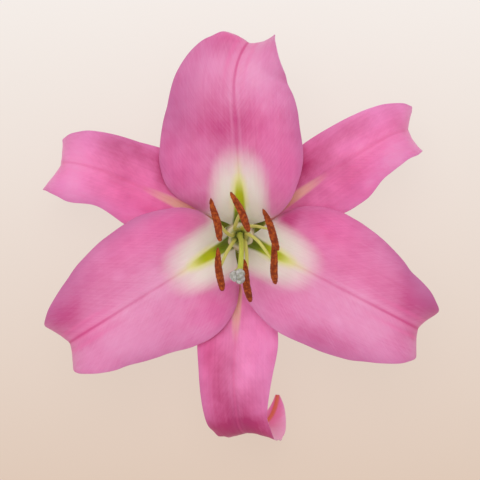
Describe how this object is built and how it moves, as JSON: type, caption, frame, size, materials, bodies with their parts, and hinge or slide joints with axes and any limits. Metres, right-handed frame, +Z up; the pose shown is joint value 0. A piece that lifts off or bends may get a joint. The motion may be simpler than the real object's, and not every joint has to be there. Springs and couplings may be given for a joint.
{
  "type": "cut lily",
  "caption": "Single open pink oriental lily bloom as picked, lying face up on its curled-back sepals, with its petals, stamens and pistil as separate pieces and a short cut stalk behind.",
  "frame": {"origin": "centre of the bloom's footprint, on the surface that it lies on", "axes": "+Z up, along the flower's own axis, out of its open face; +Y towards the top petal, the bloom's longest way; +X to the right of someone who looks down on the open face with the top petal away from them"},
  "size_m": [0.1894, 0.1972, 0.0833],
  "materials": {
    "petal": "satin",
    "sepal": "satin",
    "stalk": "satin",
    "filament": "satin",
    "anther": "matte",
    "pistil": "satin"
  },
  "bodies": {
    "root": {"stalk": "stalk", "petal_top": "petal", "petal_left": "petal", "petal_right": "petal", "sepal_right": "sepal", "sepal_left": "sepal", "sepal_bottom": "sepal", "filament_1": "filament", "filament_2": "filament", "filament_3": "filament", "filament_4": "filament", "filament_5": "filament", "filament_6": "filament", "anther_1": "anther", "anther_2": "anther", "anther_3": "anther", "anther_4": "anther", "anther_5": "anther", "anther_6": "anther", "pistil": "pistil"}
  },
  "joints": []
}
